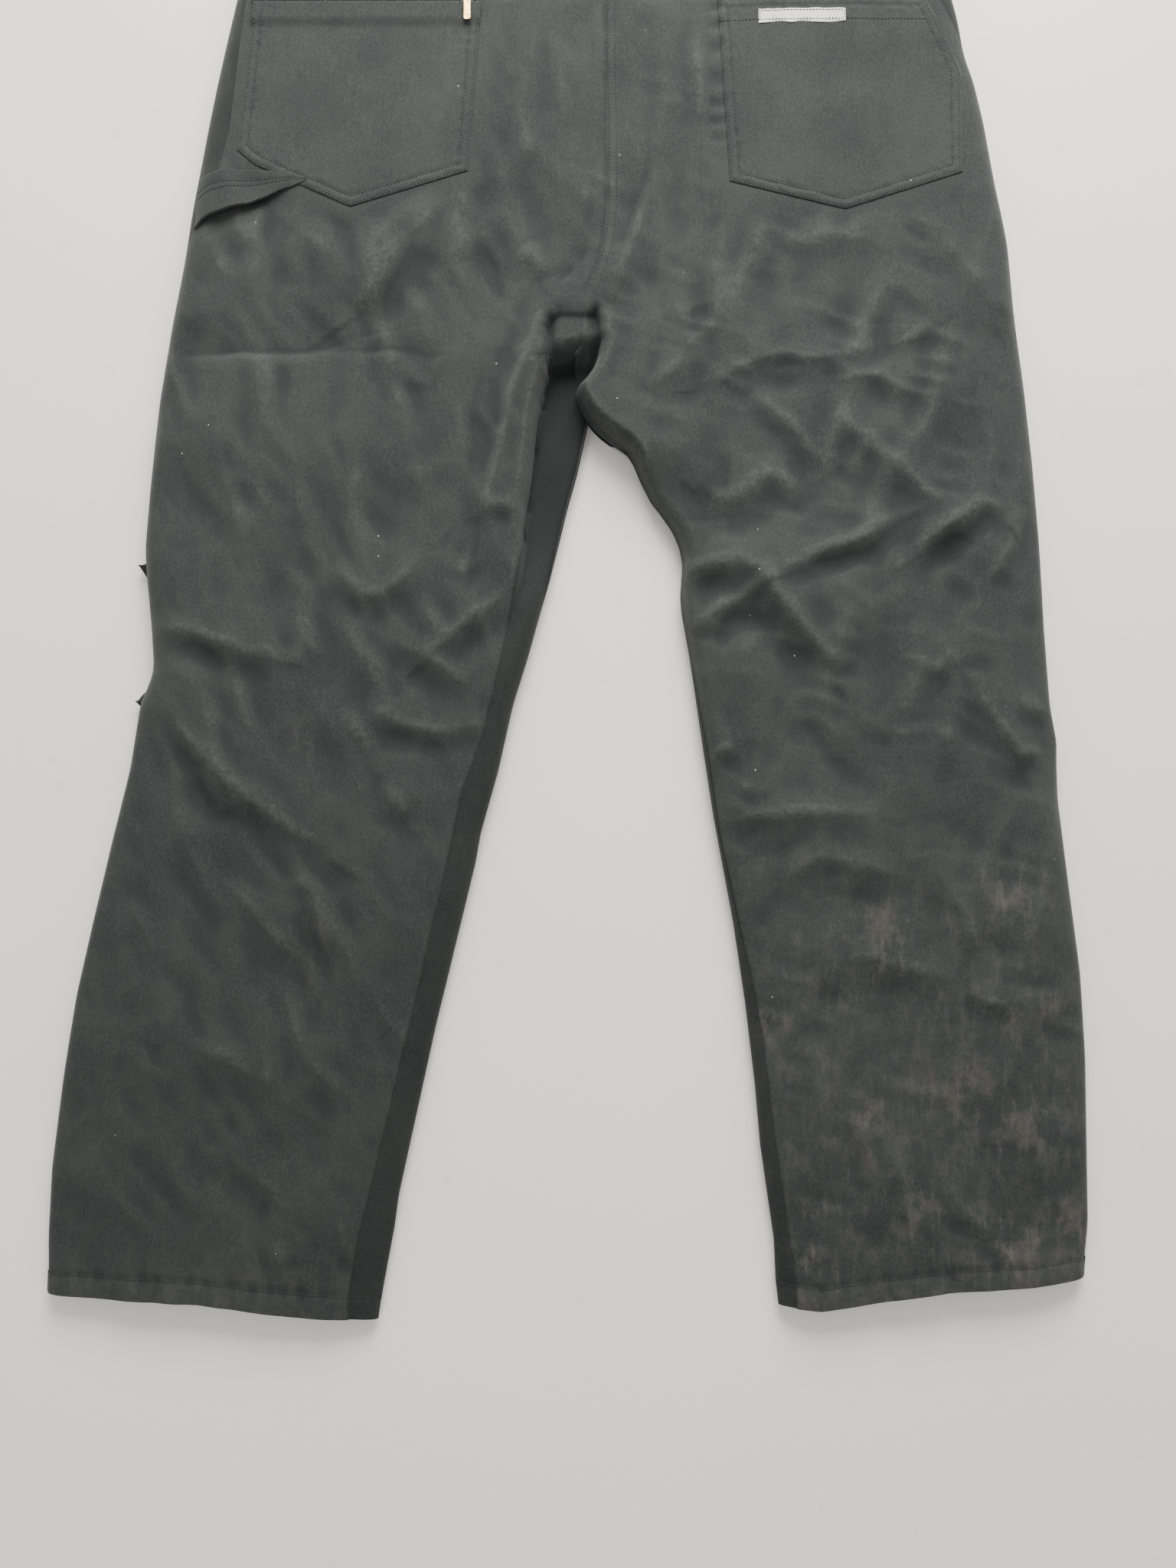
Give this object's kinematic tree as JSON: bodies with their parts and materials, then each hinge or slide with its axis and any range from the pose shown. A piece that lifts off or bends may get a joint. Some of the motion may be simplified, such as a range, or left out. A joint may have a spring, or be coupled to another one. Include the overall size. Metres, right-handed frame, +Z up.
{
  "type": "insulated work pants",
  "caption": "Insulated twill work pants lying flat on their front, back pockets up, with a zipped pocket, hammer loop, elastic waist and quilted lining.",
  "frame": {"origin": "on the floor under the middle of the box of the pants as they lie", "axes": "+Z up from the floor, out of the back of the pants; +Y from the hems to the waist; +X towards the wearer's right"},
  "size_m": [0.8242, 1.1678, 0.0559],
  "materials": {
    "twill": "matt charcoal twill, worn",
    "lining": "red quilted nylon",
    "pocketing": "plain pocket cloth",
    "elastic": "ribbed knitted elastic",
    "zip_tape": "woven tape",
    "zip_metal": "nickel silver, lightly worn",
    "brass": "worn brass",
    "snap_metal": "plated, lightly worn",
    "label": "woven tape, off-white"
  },
  "bodies": {
    "pants": {"back_panel_left": "twill", "back_panel_right": "twill", "front_panel_left": "twill", "front_panel_right": "twill", "waistband_back": "twill", "waistband_front_left": "twill", "waistband_front_right": "twill", "back_pocket_left": "twill", "back_pocket_right": "twill", "hammer_loop": "twill", "knee_patch_left": "twill", "knee_patch_right": "twill", "waist_tab": "twill", "lining_back_left": "lining", "lining_back_right": "lining", "lining_front_left": "lining", "lining_front_right": "lining", "front_pocket_bag_left": "pocketing", "front_pocket_bag_right": "pocketing", "waist_elastic": "elastic", "back_zip_tape_upper": "zip_tape", "back_zip_tape_lower": "zip_tape", "fly_tape_upper": "zip_tape", "fly_tape_lower": "zip_tape", "back_zip_teeth_upper": "zip_metal", "back_zip_teeth_lower": "zip_metal", "back_zip_end_stop": "zip_metal", "back_zip_start_stop": "zip_metal", "fly_teeth_upper": "zip_metal", "fly_teeth_lower": "zip_metal", "fly_end_stop": "zip_metal", "fly_start_stop": "zip_metal", "waist_snap_cap": "snap_metal", "waist_snap_stud": "snap_metal", "label_tape": "label"},
    "back_slider": {"back_zip_slider": "zip_metal"},
    "back_pull": {"back_zip_pull": "brass"},
    "fly_slide_body": {"fly_slider": "zip_metal"},
    "fly_pull_body": {"fly_pull": "brass"}
  },
  "joints": [
    {"name": "back_zip", "type": "slide", "parent": "pants", "child": "back_slider", "axis": [1, 0, 0], "range_m": [-0.173, 0]},
    {"name": "back_zip_pull_hinge", "type": "hinge", "parent": "back_slider", "child": "back_pull", "pos_m": [-0.08596, 0.49292, 0.0514], "axis": [-1, 0, 0], "range_deg": [0, 170]},
    {"name": "fly_zip", "type": "slide", "parent": "pants", "child": "fly_slide_body", "axis": [0, 1, 0], "range_m": [-0.181, 0]},
    {"name": "fly_pull_hinge", "type": "hinge", "parent": "fly_slide_body", "child": "fly_pull_body", "pos_m": [0.01454, 0.53542, 0.0036], "axis": [1, 0, 0], "range_deg": [0, 175]}
  ]
}
